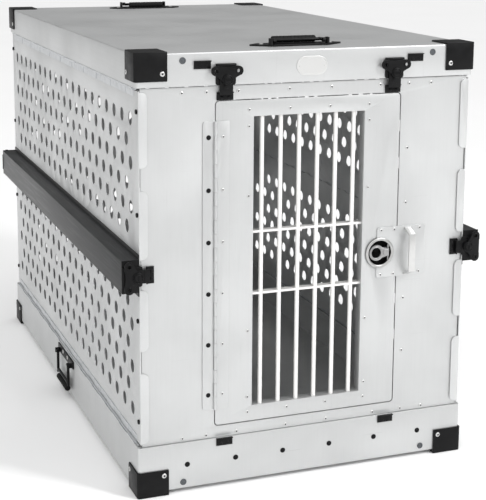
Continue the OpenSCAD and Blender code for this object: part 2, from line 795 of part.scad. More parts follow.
module grille_crossbars() color(alu) centred() for (s = [-1, 1])
    translate([0, 0, window_mid + s * bar_span / 2 - bar_t / 2]) difference() {
        translate([-window_w / 2, bar_in - panel_y + 2 * sheet_t, 0])
            cube([window_w, bar_deep, bar_t]);
        for (x = rod_x) translate([x, -rod_y, -1]) cylinder(h = bar_t + 2, d = rod_d + rod_fit);
    }

frame_rivet = window_w / 2 + 9;                // rivets that hold the grille's frame
side_rivets = [window_h / 2 - 17, 122];

module door_rivets() color(alu_dark) centred() front_face(panel_y) {
    for (x = [-114, -38, 38, 114], s = [-1, 1])
        translate([x, window_mid + s * (window_h / 2 + 11.5), 0]) rivet();
    both_sides() for (z = side_rivets, s = [-1, 1])
        translate([frame_rivet, window_mid + s * z, 0]) rivet();
    for (z = leaf_rivets) translate([hinge_x + 13.5, z, leaf_t]) rivet(3);
    for (x = [lock_x0 + 8, lock_x0 + 34, lock_x0 + lock_w - 12], s = [-1, 1])
        translate([x, door_mid + s * (lock_h / 2 - 5.5), lock_t]) rivet(3);
}

// ---------- lock ----------

module lock_plate() color(alu) centred() front_face(panel_y) linear_extrude(lock_t) difference() {
    translate([lock_x0 + lock_w / 2, door_mid]) round_rect(lock_w, lock_h, 5);
    translate([slam_x, door_mid]) circle(cup_r + 0.3);
}

// bent strip with slanting legs, standing on the lock plate
module pull_handle() color(alu) centred() translate([pull_x - pull_w / 2, -panel_y - lock_t, door_mid])
    rotate([90, 0, 90]) linear_extrude(pull_w) {
        h = pull_l / 2;
        polygon([[0, h], [-pull_out, h - 10], [-pull_out, 10 - h], [0, -h], [0, 4 - h],
            [3 - pull_out, 12 - h], [3 - pull_out, h - 12], [0, h - 4]]);
    }

module slam_latch_housing() color(alu) centred() translate([slam_x, -panel_y, door_mid])
    rotate([90, 0, 0]) difference() {
        rotate_extrude($fn = 96) {
            translate([0, -slam_depth]) square([cup_r, 2]);
            translate([cup_r - 2, -slam_depth]) square([2, slam_depth + lock_t]);
            translate([cup_r - 2, lock_t]) square([slam_d / 2 - cup_r + 2, 2]);
        }
        // the bolt's way out
        translate([cup_r - 4, -8.3, -slam_depth + 2]) cube([8, 16.6, 6.6]);
        // bearing holes of the paddle's pin
        translate([paddle_x - slam_x, 0, 0]) rotate([90, 0, 0])
            cylinder(h = 2 * pin_half + 0.4, r = 1.45, center = true);
    }

// keyhole-shaped lift with a finger hole, and the pin that it turns on
module slam_latch_paddle() color(alu) centred() translate([slam_x, -panel_y, door_mid])
    rotate([90, 0, 0]) {
        px = paddle_x - slam_x;
        translate([0, 0, -1.2]) linear_extrude(2.4) difference() {
            union() {
                translate([-5.5, 0]) circle(14.5);
                translate([0, -7]) square([px, 14]);
            }
            translate([-6.5, 0]) circle(9.5);
        }
        translate([px, 0, 0]) rotate([90, 0, 0]) cylinder(h = 14, r = 2.5, center = true);
        translate([px, 0, 0]) rotate([90, 0, 0])
            cylinder(h = 2 * pin_half, r = 1.4, center = true);
    }

bolt_y = panel_y - slam_depth + 2.3;

module slam_latch_bolt() color(alu_dark) centred()
    translate([door_w / 2 - 20, -bolt_y - 6, door_mid - 8]) cube([20.3, 6, 16]);

// ---------- rear panel ----------

module rear_panel() color(alu) centred() mirror([0, 1, 0])
    front_face(panel_y - sheet_t) linear_extrude(sheet_t) difference() {
        panel_outline();
        for (z = [base_top, mid_z + 6]) translate([0, z]) vents(2 * panel_hw, mid_z - base_top);
    }

module rear_panel_fittings() color(alu) centred() mirror([0, 1, 0]) {
    top_angle();
    front_face(panel_y) panel_keepers();
    front_face(panel_y) end_row_rivets();
    both_sides() translate([0, -panel_pin_y, panel_pin_z]) panel_leaf();
}

base_tray();
lid_tray();
left_lower_wall();
left_upper_wall();
right_lower_wall();
right_upper_wall();
wall_hinge_leaves();
wall_hinge_pins();
left_side_rail();
right_side_rail();
rail_end_plates();
top_corner_caps();
bottom_corner_caps();
nylon_buttons();
shell_keepers();
latch_plates();
name_plate();
handle_brackets();
shell_rivets();
panel_hinge_base_leaves();
front_panel();
front_panel_stiffeners();
front_panel_keepers();
front_panel_rivets();
front_panel_hinge_leaves();
door_hinge_frame_leaf();
door_hinge_pin();
door_panel();
door_hinge_door_leaf();
grille_rods();
grille_crossbars();
grille_frame();
door_rivets();
lock_plate();
pull_handle();
slam_latch_housing();
slam_latch_paddle();
slam_latch_bolt();
rear_panel();
rear_panel_fittings();
front_top_handle();
rear_top_handle();
left_side_handle();
right_side_handle();
lid_latch_wings_front_left();
lid_latch_wings_front_right();
lid_latch_wings_rear_left();
lid_latch_wings_rear_right();
rail_latch_wings_front_left();
rail_latch_wings_front_right();
rail_latch_wings_rear_left();
rail_latch_wings_rear_right();
lid_latch_hook_front_left();
lid_latch_hook_front_right();
lid_latch_hook_rear_left();
lid_latch_hook_rear_right();
rail_latch_hook_front_left();
rail_latch_hook_front_right();
rail_latch_hook_rear_left();
rail_latch_hook_rear_right();
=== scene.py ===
"""Looks of the folding sheet-aluminium dog crate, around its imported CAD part."""
import math

import bpy
from mathutils import Matrix, Vector


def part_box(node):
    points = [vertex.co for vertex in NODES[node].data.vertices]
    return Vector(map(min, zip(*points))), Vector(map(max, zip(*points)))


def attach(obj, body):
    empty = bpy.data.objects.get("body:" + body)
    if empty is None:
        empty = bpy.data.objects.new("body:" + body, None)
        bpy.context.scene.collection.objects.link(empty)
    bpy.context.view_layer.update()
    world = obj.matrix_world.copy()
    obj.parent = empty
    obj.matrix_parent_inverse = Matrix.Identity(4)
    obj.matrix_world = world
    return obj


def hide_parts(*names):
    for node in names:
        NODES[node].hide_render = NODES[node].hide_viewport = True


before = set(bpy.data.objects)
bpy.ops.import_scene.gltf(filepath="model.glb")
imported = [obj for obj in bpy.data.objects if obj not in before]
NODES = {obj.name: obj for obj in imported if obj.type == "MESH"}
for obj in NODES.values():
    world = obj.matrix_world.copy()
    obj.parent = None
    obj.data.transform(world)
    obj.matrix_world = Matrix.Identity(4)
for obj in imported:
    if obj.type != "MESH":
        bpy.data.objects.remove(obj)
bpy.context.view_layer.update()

MM = 0.001

# ---------- sizes in mm, read from the CAD part ----------

lid_lo, lid_hi = (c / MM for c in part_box("lid_tray"))
base_lo, base_hi = (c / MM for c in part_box("base_tray"))
panel_lo, panel_hi = (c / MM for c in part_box("front_panel"))
door_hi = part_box("door_panel")[1] / MM
lock_lo, lock_hi = (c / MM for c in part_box("lock_plate"))
grille_lo, grille_hi = (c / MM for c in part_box("grille_frame"))
leaf_lo, leaf_hi = (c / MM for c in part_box("door_hinge_frame_leaf"))
rail_lo, rail_hi = (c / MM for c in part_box("right_side_rail"))

half_w = lid_hi.x                              # half the crate's width
mid_y = (lid_lo.y + lid_hi.y) / 2              # middle of the crate from front to rear
half_d = lid_hi.y - mid_y
front_y, rear_y = lid_lo.y, lid_hi.y
panel_y = panel_lo.y                           # outer face of the front panel and the door
crate_h = lid_hi.z
base_top = base_hi.z
mid_z = (rail_lo.z + rail_hi.z) / 2            # middle hinge and rail latches
CAP_T = 3                                      # wall of the corner caps
LEAF_T = 1.5                                   # thickness of the door hinge's leaves
LOCK_T = lock_hi.y - lock_lo.y
GRILLE_STRIP = 20
window_lo = Vector((grille_lo.x + GRILLE_STRIP, 0, grille_lo.z + GRILLE_STRIP))
window_hi = Vector((grille_hi.x - GRILLE_STRIP, 0, grille_hi.z - GRILLE_STRIP))
door_mid = (lock_lo.z + lock_hi.z) / 2
hinge_x = leaf_hi.x - 3                        # axis of the door hinge
SLAM_X = door_hi.x - 34                        # centre of the slam latch
SLAM_R = 28                                    # its bezel
CUP_R = 24.5                                   # outside of its cup
PIVOT_X = 17.5                                 # paddle's pivot from the latch's centre

# ---------- making and shaping ----------


def deselect():
    if bpy.context.object and bpy.context.object.mode != "OBJECT":
        bpy.ops.object.mode_set(mode="OBJECT")
    bpy.ops.object.select_all(action="DESELECT")


def pick(o):
    """o alone is selected and active"""
    deselect()
    o.select_set(True)
    bpy.context.view_layer.objects.active = o
    return o


def apply_place(o):
    pick(o)
    bpy.ops.object.transform_apply(location=True, rotation=True, scale=True)
    return o


def block(x0, x1, y0, y1, z0, z1):
    """a box in mm between two corners"""
    deselect()
    bpy.ops.mesh.primitive_cube_add(size=1, location=((x0 + x1) / 2, (y0 + y1) / 2, (z0 + z1) / 2),
                                    scale=(x1 - x0, y1 - y0, z1 - z0))
    return apply_place(bpy.context.object)


def drum(x, y, z0, z1, r, steps=32):
    """an upright cylinder in mm"""
    deselect()
    bpy.ops.mesh.primitive_cylinder_add(vertices=steps, radius=r, depth=z1 - z0,
                                        location=(x, y, (z0 + z1) / 2))
    return apply_place(bpy.context.object)


def turned(rings, steps=24):
    """a round piece built up ring by ring along Z; rings are (radius, height) in mm"""
    deselect()
    r0, z0 = rings[0]
    bpy.ops.mesh.primitive_circle_add(vertices=steps, radius=r0, fill_type="NGON",
                                      location=(0, 0, z0))
    o = apply_place(bpy.context.object)
    bpy.ops.object.mode_set(mode="EDIT")
    bpy.ops.mesh.select_all(action="SELECT")
    for r, z in rings[1:]:
        bpy.ops.mesh.extrude_region_move(TRANSFORM_OT_translate={"value": (0, 0, z - z0)})
        bpy.ops.transform.resize(value=(r / r0, r / r0, 1), center_override=(0, 0, 0))
        r0, z0 = r, z
    bpy.ops.mesh.select_all(action="SELECT")
    bpy.ops.mesh.normals_make_consistent(inside=False)
    deselect()
    return o


def joined(*objects):
    deselect()
    for o in objects:
        o.select_set(True)
    bpy.context.view_layer.objects.active = objects[0]
    bpy.ops.object.join()
    return bpy.context.object


def hulled(*objects):
    """the tight skin round several pieces, as one"""
    o = joined(*objects)
    bpy.ops.object.mode_set(mode="EDIT")
    bpy.ops.mesh.select_all(action="SELECT")
    bpy.ops.mesh.convex_hull()
    deselect()
    return o


def modified(o, kind, **settings):
    pick(o)
    m = o.modifiers.new(kind.title(), kind)
    for name, value in settings.items():
        setattr(m, name, value)
    bpy.ops.object.modifier_apply(modifier=m.name)
    return o


def carved(o, *cutters):
    """takes the cutters' shapes out of o"""
    for cutter in cutters:
        modified(o, "BOOLEAN", operation="DIFFERENCE", solver="EXACT", object=cutter)
        bpy.data.objects.remove(cutter)
    return o


def eased(o, width, segments=2):
    """breaks the sharp edges and shades what is left smooth"""
    modified(o, "BEVEL", width=width, segments=segments, limit_method="ANGLE",
             angle_limit=math.radians(35))
    pick(o)
    bpy.ops.object.shade_smooth_by_angle(angle=math.radians(32))
    return o


def rounded_edges(o, width, segments, chosen):
    """rounds the edges for which chosen(first corner, second corner) is true"""
    pick(o)
    for v in o.data.vertices:
        v.select = False
    for f in o.data.polygons:
        f.select = False
    for e in o.data.edges:
        a, b = (o.data.vertices[i].co for i in e.vertices)
        e.select = chosen(a, b)
    bpy.ops.object.mode_set(mode="EDIT")
    bpy.ops.mesh.select_mode(type="EDGE")
    bpy.ops.mesh.bevel(offset=width, segments=segments, affect="EDGES")
    deselect()
    return o


def along(axis):
    """a test for edges that run along one axis"""
    def test(a, b):
        d = b - a
        return d.length > 0 and abs(d[axis]) > 0.999 * d.length
    return test


TURNS = {"front": Matrix.Rotation(math.pi / 2, 4, "X"),
         "rear": Matrix.Rotation(-math.pi / 2, 4, "X") @ Matrix.Rotation(math.pi, 4, "Z"),
         "right": Matrix.Rotation(math.pi / 2, 4, "Y"),
         "left": Matrix.Rotation(-math.pi / 2, 4, "Y"),
         "top": Matrix.Identity(4)}


def place(x, y, z, facing, turn=0):
    """where a piece made round its own origin goes; turn is in degrees about its outward axis"""
    return (Matrix.Translation(Vector((x, y, z)) * MM) @ TURNS[facing]
            @ Matrix.Rotation(math.radians(turn), 4, "Z") @ Matrix.Scale(MM, 4))


def copies(master, name, places):
    """one piece from a copy of the master at each place; the master goes"""
    made = []
    for where in places:
        o = master.copy()
        o.data = master.data.copy()
        o.matrix_world = where
        bpy.context.collection.objects.link(o)
        made.append(o)
    bpy.data.objects.remove(master)
    o = joined(*made) if len(made) > 1 else made[0]
    o.name = name
    return apply_place(o)


def fitted(o, body, slot, materials, *replaced):
    """gives a piece its body and its finish, and hides the CAD nodes that it stands for"""
    if not isinstance(materials, (list, tuple)):
        materials = [materials]
    if len(o.data.materials) != len(materials):
        o.data.materials.clear()
        for m in materials:
            o.data.materials.append(m)
    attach(o, body)
    if replaced:
        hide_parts(*replaced)
    return o


def refined(node, name, width, segments=2, before=None):
    """a copy of a CAD node with its triangles merged and its edges eased by width mm"""
    o = bpy.data.objects.new(name, NODES[node].data.copy())
    bpy.context.collection.objects.link(o)
    o.data.materials.clear()
    pick(o)
    bpy.ops.object.mode_set(mode="EDIT")
    bpy.ops.mesh.customdata_custom_splitnormals_clear()
    bpy.ops.mesh.select_all(action="SELECT")
    bpy.ops.mesh.remove_doubles(threshold=0.00001)
    bpy.ops.mesh.dissolve_limited(angle_limit=math.radians(0.6))
    deselect()
    if before:
        before(o)
    return eased(o, width * MM, segments)


# ---------- finishes ----------


def linear(text):
    """an sRGB hex colour as linear red, green, blue and alpha"""
    parts = [int(text[i:i + 2], 16) / 255 for i in (0, 2, 4)]
    return [c / 12.92 if c <= 0.04045 else ((c + 0.055) / 1.055) ** 2.4 for c in parts] + [1.0]


def add(tree, kind, inputs=None, **settings):
    """adds a node; inputs gives a socket a value or another node's output"""
    n = tree.nodes.new(kind)
    for key, value in settings.items():
        setattr(n, key, value)
    for key, value in (inputs or {}).items():
        if isinstance(value, bpy.types.NodeSocket):
            tree.links.new(value, n.inputs[key])
        else:
            n.inputs[key].default_value = value
    return n


def finish(name, colour, roughness, metallic=0.0, **sockets):
    """a named material with one shader; returns it, its tree, its shader and its coordinates"""
    m = bpy.data.materials.new(name)
    m.use_nodes = True
    tree = m.node_tree
    tree.nodes.clear()
    shader = add(tree, "ShaderNodeBsdfPrincipled", {"Base Color": linear(colour),
                 "Roughness": roughness, "Metallic": metallic, **sockets})
    out = add(tree, "ShaderNodeOutputMaterial")
    tree.links.new(shader.outputs[0], out.inputs[0])
    return m, tree, shader, add(tree, "ShaderNodeTexCoord").outputs["Object"]


def noise(tree, coords, size, detail=3.0, stretch=(1, 1, 1), roughness=0.5):
    """noise whose features are about size mm, longer by stretch along each axis"""
    scale = [1000 / (size * s) for s in stretch]
    mapped = add(tree, "ShaderNodeMapping", {"Vector": coords, "Scale": scale})
    return add(tree, "ShaderNodeTexNoise", {"Vector": mapped.outputs[0], "Scale": 1.0,
               "Detail": detail, "Roughness": roughness}).outputs["Fac"]


def spread(tree, value, low, high, to_low, to_high):
    """maps low..high to to_low..to_high and stops at the ends"""
    return add(tree, "ShaderNodeMapRange", {"Value": value, "From Min": low, "From Max": high,
               "To Min": to_low, "To Max": to_high}).outputs[0]


def mixed(tree, factor, a, b, blend="MIX"):
    return add(tree, "ShaderNodeMix", {0: factor, 6: a, 7: b}, data_type="RGBA",
               blend_type=blend).outputs[2]


def sheet_finish(name, stretch, colour="cacbcb", dull="b9baba", scuffed=0.0):
    """Mill-finished aluminium sheet, rolled and left bare: pale silver with a soft sheen, a
    rolling grain along the sheet, cloudy handling marks and a few fine scratches."""
    m, tree, shader, at = finish(name, colour, 0.5, 0.8)
    # the real grain is a tenth of a millimetre; drawn 3 mm wide so that it shows
    grain = noise(tree, at, 3.0, 2.0, stretch)
    clouds = noise(tree, at, 150.0, 4.0)
    # handling scratches some 0.5 mm wide and 60 mm long, in two directions
    long_marks = noise(tree, at, 4.0, 1.0, (1, 1, 22))
    cross_marks = noise(tree, at, 5.0, 1.0, (18, 18, 1))
    tone = mixed(tree, spread(tree, clouds, 0.35, 0.7, 0.0, 0.45), linear(colour), linear(dull))
    tone = mixed(tree, spread(tree, grain, 0.35, 0.7, 0.0, 0.06), tone, linear(dull))
    marks = add(tree, "ShaderNodeMath", {0: spread(tree, long_marks, 0.74, 0.78, 0.0, 0.1),
                1: spread(tree, cross_marks, 0.73, 0.77, 0.0, 0.08 + scuffed)},
                operation="MAXIMUM").outputs[0]
    tone = mixed(tree, marks, tone, linear("a2a3a3"))
    tree.links.new(tone, shader.inputs["Base Color"])
    rough = add(tree, "ShaderNodeMath", {0: spread(tree, clouds, 0.3, 0.7, 0.4, 0.52),
                1: spread(tree, grain, 0.3, 0.7, -0.02, 0.02)}, operation="ADD").outputs[0]
    tree.links.new(rough, shader.inputs["Roughness"])
    # sheet is never quite flat: slow waves about 200 mm long, and the grain on top
    wave = add(tree, "ShaderNodeBump", {"Height": noise(tree, at, 210.0, 1.0), "Strength": 0.16,
               "Distance": 0.0012})
    ridge = add(tree, "ShaderNodeBump", {"Height": grain, "Strength": 0.05, "Distance": 0.0002,
                "Normal": wave.outputs[0]})
    tree.links.new(ridge.outputs[0], shader.inputs["Normal"])
    return m


def plain_metal(name, colour, dark, roughness, size=2.0, metallic=0.9):
    """Drawn or cast bright metal with a light satin and small dull patches."""
    m, tree, shader, at = finish(name, colour, roughness, metallic)
    patch = noise(tree, at, size * 6, 3.0)
    tree.links.new(mixed(tree, spread(tree, patch, 0.4, 0.75, 0.0, 0.35), linear(colour),
                         linear(dark)), shader.inputs["Base Color"])
    tree.links.new(spread(tree, noise(tree, at, size, 2.0), 0.3, 0.7, roughness - 0.03,
                          roughness + 0.04), shader.inputs["Roughness"])
    bump = add(tree, "ShaderNodeBump", {"Height": noise(tree, at, size, 2.0), "Strength": 0.06,
               "Distance": 0.0002})
    tree.links.new(bump.outputs[0], shader.inputs["Normal"])
    return m


def coated(name, colour, worn, roughness, peel, depth, wear=0.35):
    """A black or grey coat or moulding: fine pebbled skin, dusty patches, paler rub marks."""
    m, tree, shader, at = finish(name, colour, roughness, 0.0, IOR=1.27)
    dust = noise(tree, at, 26.0, 5.0, roughness=0.65)
    rubs = noise(tree, at, 3.0, 2.0, (1, 7, 1))
    tone = mixed(tree, spread(tree, dust, 0.45, 0.8, 0.0, wear), linear(colour), linear(worn))
    tone = mixed(tree, spread(tree, rubs, 0.7, 0.8, 0.0, wear), tone, linear(worn))
    tree.links.new(tone, shader.inputs["Base Color"])
    tree.links.new(spread(tree, dust, 0.3, 0.75, roughness - 0.06, roughness + 0.14),
                   shader.inputs["Roughness"])
    skin = add(tree, "ShaderNodeBump", {"Height": noise(tree, at, peel, 2.0), "Strength": 0.4,
               "Distance": depth * MM})
    tree.links.new(skin.outputs[0], shader.inputs["Normal"])
    return m


ALONG_Z, ALONG_Y = (1, 1, 30), (1, 30, 1)
wall_sheet = sheet_finish("mill_finish_aluminium_wall", ALONG_Y, "d0d1d1", "b9baba")
front_sheet = sheet_finish("mill_finish_aluminium_front", ALONG_Z)
lid_sheet = sheet_finish("mill_finish_aluminium_lid", ALONG_Y)
base_sheet = sheet_finish("mill_finish_aluminium_base", ALONG_Z, scuffed=0.14)
rod_metal = plain_metal("drawn_aluminium_rod", "eeedeb", "e2e1df", 0.42, 16.0, 0.45)
bright_metal = plain_metal("bright_aluminium", "cfcfce", "bdbdbc", 0.34)
hinge_metal = plain_metal("plain_aluminium_hinge", "cfd1d3", "a2a5a8", 0.38)
latch_metal = plain_metal("cast_zinc_satin", "b9b9b8", "9a9a99", 0.34)
paddle_metal = plain_metal("cast_zinc_grey", "a3a3a3", "8b8b8b", 0.36)
bolt_metal = plain_metal("ground_steel", "9c9da0", "6f7174", 0.36)
# the broken mandrel's steel is real; its near-black colour, also on the hole's walls, is painted
# shade in the hole
mandrel_and_hole_shade = plain_metal("mandrel_steel_painted_hole_shade", "3a3b3d", "1d1e20", 0.5)
badge_metal = plain_metal("polished_badge", "d4d4d3", "cbcbca", 0.3, 20.0, 0.6)
powder_coat = coated("black_powder_coat", "0b0b0c", "1c1d1e", 0.4, 1.2, 0.1, 0.25)
nylon = coated("black_moulded_nylon", "0a0a0b", "202122", 0.42, 1.6, 0.12, 0.3)
grip_rubber = coated("black_grip_rubber", "0a0a0a", "191a1b", 0.55, 1.4, 0.15, 0.25)
# painted shade: a near-black lining inside the slam latch's cup stands in for the shade in the
# deep cup
cup_painted_shade = coated("painted_shade_cup_lining", "060606", "101010", 0.6, 1.2, 0.05, 0.1)
grey_plug = coated("grey_moulded_plug", "505356", "6c6f72", 0.5, 1.4, 0.1)


def rail_finish():
    """Dark grey satin channel: lengthwise die lines and drag marks, and painted shade, near-black,
    along the two flanges."""
    m, tree, shader, at = finish("dark_anodised_channel", "303132", 0.4, 0.35)
    # die lines 2.5 mm apart running the whole length
    lines = noise(tree, at, 2.5, 2.0, (1, 160, 1))
    drags = noise(tree, at, 5.0, 4.0, (1, 26, 1), 0.6)
    tone = mixed(tree, spread(tree, lines, 0.35, 0.7, 0.0, 0.6), linear("1e1f20"),
                 linear("2c2d2e"))
    tone = mixed(tree, spread(tree, drags, 0.5, 0.75, 0.0, 0.4), tone, linear("606162"))
    # painted shade: the colour goes near-black along the lower and upper flanges and stands in for
    # the shade there
    height = add(tree, "ShaderNodeSeparateXYZ", {0: at}).outputs["Z"]
    low = spread(tree, height, (rail_lo.z + 8) * MM, (rail_lo.z + 14) * MM, 0.85, 0.0)
    high = spread(tree, height, (rail_hi.z - 9) * MM, (rail_hi.z - 8) * MM, 0.0, 0.85)
    edges = add(tree, "ShaderNodeMath", {0: low, 1: high}, operation="MAXIMUM").outputs[0]
    tone = mixed(tree, edges, tone, linear("0d0d0e"))
    tree.links.new(tone, shader.inputs["Base Color"])
    tree.links.new(spread(tree, drags, 0.3, 0.75, 0.34, 0.48), shader.inputs["Roughness"])
    bump = add(tree, "ShaderNodeBump", {"Height": lines, "Strength": 0.15, "Distance": 0.0002})
    tree.links.new(bump.outputs[0], shader.inputs["Normal"])
    return m


rail_coat = rail_finish()

# ---------- sheet parts, kept from the CAD with eased edges ----------


def soft_lid_edge(o):
    """the lid's top edge is folded round a 2.5 mm radius"""
    rounded_edges(o, 2.5 * MM, 4, lambda a, b: min(a.z, b.z) > (crate_h - 0.1) * MM)


def leaf_corners(o):
    """round corners on the hinge leaf's free edge"""
    rounded_edges(o, 6 * MM, 6, lambda a, b: abs(a.x - b.x) < 1e-5 and abs(a.z - b.z) < 1e-5
                  and abs(a.y - b.y) > MM and a.x < (leaf_lo.x + 0.1) * MM)


for node, name, body, slot, material, width, shaping in (
        ("lid_tray", "lid_shell", "shell", "sheet", lid_sheet, 0.5, soft_lid_edge),
        ("base_tray", "base_shell", "shell", "sheet", base_sheet, 0.6, None),
        ("left_lower_wall", "wall_left_lower", "shell", "sheet", wall_sheet, 0.35, None),
        ("left_upper_wall", "wall_left_upper", "shell", "sheet", wall_sheet, 0.35, None),
        ("right_lower_wall", "wall_right_lower", "shell", "sheet", wall_sheet, 0.35, None),
        ("right_upper_wall", "wall_right_upper", "shell", "sheet", wall_sheet, 0.35, None),
        ("left_side_rail", "rail_left", "shell", "rail", rail_coat, 1.0, None),
        ("right_side_rail", "rail_right", "shell", "rail", rail_coat, 1.0, None),
        ("rail_end_plates", "rail_ends", "shell", "caps", nylon, 0.6, None),
        ("top_corner_caps", "corner_caps_top", "shell", "caps", nylon, 1.3, None),
        ("bottom_corner_caps", "corner_caps_bottom", "shell", "caps", nylon, 1.3, None),
        ("shell_keepers", "keepers_shell", "shell", "hardware", powder_coat, 0.5, None),
        ("front_panel_keepers", "keepers_front", "front_end", "hardware", powder_coat, 0.5, None),
        ("handle_brackets", "brackets", "shell", "hardware", powder_coat, 0.6, None),
        ("front_panel", "panel_front", "front_end", "sheet", front_sheet, 0.4, None),
        ("rear_panel", "panel_rear", "rear_end", "sheet", wall_sheet, 0.35, None),
        ("door_panel", "door_sheet", "door", "sheet", front_sheet, 0.4, None),
        ("grille_frame", "grille_strips", "door", "sheet", front_sheet, 0.4, None),
        ("grille_crossbars", "grille_bars", "door", "sheet", rod_metal, 0.4, None),
        ("lock_plate", "lock_sheet", "door", "sheet", front_sheet, 0.35, None),
        ("pull_handle", "pull", "door", "sheet", bright_metal, 0.8, None),
        ("door_hinge_frame_leaf", "hinge_leaf_frame", "front_end", "trim", front_sheet, 0.25,
         leaf_corners),
        ("door_hinge_door_leaf", "hinge_leaf_door", "door", "trim", front_sheet, 0.25, None),
        ("front_panel_stiffeners", "stiffeners_front", "front_end", "sheet", front_sheet, 0.4,
         None),
        ("slam_latch_bolt", "slam_bolt", "bolt", "bolt", bolt_metal, 0.8, None)):
    fitted(refined(node, name, width, 2, shaping), body, slot, material, node)

for node, material in (
        ("wall_hinge_leaves", hinge_metal), ("wall_hinge_pins", hinge_metal),
        ("panel_hinge_base_leaves", hinge_metal), ("front_panel_hinge_leaves", hinge_metal),
        ("door_hinge_pin", hinge_metal), ("grille_rods", rod_metal),
        ("rear_panel_fittings", front_sheet)):
    NODES[node].data.materials.clear()
    NODES[node].data.materials.append(material)

# ---------- rivets, plugs and buttons ----------


def marked(o, materials, chosen):
    """two finishes on one piece: the second goes on the faces whose centre is chosen"""
    o.data.materials.clear()
    for m in materials:
        o.data.materials.append(m)
    for f in o.data.polygons:
        f.material_index = 1 if chosen(f.center) else 0
    return o


def pop_rivet(r):
    """blind rivet: a low round head with the broken mandrel down in its middle"""
    o = turned([(r, -0.2), (r, 0.3), (r * 0.9, 0.75), (r * 0.66, 1.15), (r * 0.42, 1.25),
                (r * 0.36, 0.7), (r * 0.2, 0.62)], 20)
    # painted shade: the hole's walls and the mandrel at its bottom are near-black
    marked(o, [bright_metal, mandrel_and_hole_shade],
           lambda c: math.hypot(c.x, c.y) < r * 0.4 and c.z < 1.24)
    pick(o)
    bpy.ops.object.shade_smooth_by_angle(angle=math.radians(40))
    return o


def dome_rivet(r, h):
    """solid rivet with a round domed head"""
    o = turned([(r, -0.2), (r, h * 0.25), (r * 0.93, h * 0.55), (r * 0.72, h * 0.83),
                (r * 0.4, h * 0.97), (r * 0.12, h)], 24)
    pick(o)
    bpy.ops.object.shade_smooth_by_angle(angle=math.radians(50))
    return o


BOTH = (-1, 1)
ROW_Z = (panel_lo.z + 6, panel_hi.z - 10)
row_x = (half_w - 81.5, half_w - 125.5, 134.5, 40)
strike_x = door_hi.x + 16.5
leaf_step = (leaf_hi.z - leaf_lo.z) / 5.6
leaf_z = [door_mid + i * leaf_step for i in (-2.5, -1.5, -0.5, 0.5, 1.5, 2.5)]

panel_rivets = [place(s * x, panel_y, z, "front") for s in BOTH for x in row_x for z in ROW_Z]
panel_rivets += [place(strike_x, panel_y, door_mid + z, "front") for z in (-191, -90, 90, 191)]
fitted(copies(pop_rivet(3.4), "pop_rivets_front", panel_rivets), "front_end", "trim",
       [bright_metal, mandrel_and_hole_shade], "front_panel_rivets")
fitted(copies(dome_rivet(4.2, 1.6), "hinge_rivets_black",
              [place(hinge_x - 12.5, panel_y - LEAF_T, z, "front") for z in leaf_z]),
       "front_end", "hardware", nylon)

window_mid = (window_lo.z + window_hi.z) / 2
window_half = (window_hi.z - window_lo.z) / 2
door_places = [place(x, panel_y, window_mid + s * (window_half + 11.5), "front")
               for x in (-114, -38, 38, 114) for s in BOTH]
door_places += [place(t * (window_hi.x + 9), panel_y, window_mid + s * z, "front")
                for t in BOTH for s in BOTH for z in (window_half - 17, 122)]
door_places += [place(hinge_x + 13.5, panel_y - LEAF_T, z, "front") for z in leaf_z]
lock_places = [place(x, panel_y - LOCK_T, door_mid + s * ((lock_hi.z - lock_lo.z) / 2 - 5.5),
                     "front")
               for x in (lock_lo.x + 8, lock_lo.x + 34, lock_hi.x - 12) for s in BOTH]
fitted(copies(pop_rivet(3.1), "pop_rivets_door", door_places + lock_places), "door", "trim",
       [bright_metal, mandrel_and_hole_shade], "door_rivets")

ENDS = (("front", front_y, -1), ("rear", rear_y, 1))
SIDES = (("right", 1), ("left", -1))
cap_places = []
for z in (crate_h - 34, 37):
    for x in (46 - half_w, half_w - 46):
        cap_places += [place(x, y + e * CAP_T, z, facing) for facing, y, e in ENDS]
    for y in (mid_y + 46 - half_d, mid_y + half_d - 46):
        cap_places += [place(s * (half_w + CAP_T), y, z, facing) for facing, s in SIDES]
# bright rivets hold the handles' plates too
for x in (-66, 66):
    cap_places += [place(x, y - e * 74, crate_h + 3, "top") for _, y, e in ENDS]
cap_places += [place(s * (half_w + 3), mid_y + y, base_top - 9, facing)
               for facing, s in SIDES for y in (-20, 20)]
fitted(copies(pop_rivet(4.3), "pop_rivets_caps", cap_places), "shell", "trim",
       [bright_metal, mandrel_and_hole_shade], "shell_rivets")
fitted(copies(dome_rivet(4.8, 1.8), "base_rivets_black",
              [place(s * x, y, base_top - 41, facing)
               for s in BOTH for x in (46, 137, 228) for facing, y, _ in ENDS]),
       "shell", "hardware", nylon)

button = turned([(3.4, -0.1), (4.2, 0.4), (4.3, 1.9), (3.9, 2.6), (3.0, 3.0), (0.4, 3.1)], 24)
button_places = [place(s * (half_w - 5), mid_y + e * (half_d - 10), z, facing)
                 for facing, s in SIDES for e in BOTH
                 for z in (lid_lo.z - 40, mid_z + 104, mid_z - 82, base_top + 46)]
fitted(eased(copies(button, "wall_buttons", button_places), 0.2 * MM), "shell", "caps", nylon,
       "nylon_buttons")
plug = turned([(5.2, -0.1), (5.9, 0.3), (5.6, 0.9), (4.9, 1.2), (3.9, 1.2), (3.5, 0.75),
               (2.2, 0.75), (1.9, 1.1), (0.3, 1.2)], 28)
fitted(copies(plug, "rim_plugs", [place(s * (half_w - 82), y, z, facing) for s in BOTH
                                  for z in (crate_h - 13, base_lo.z + 11)
                                  for facing, y, _ in ENDS]),
       "shell", "caps", grey_plug)

# ---------- blank badge on the lid's front ----------


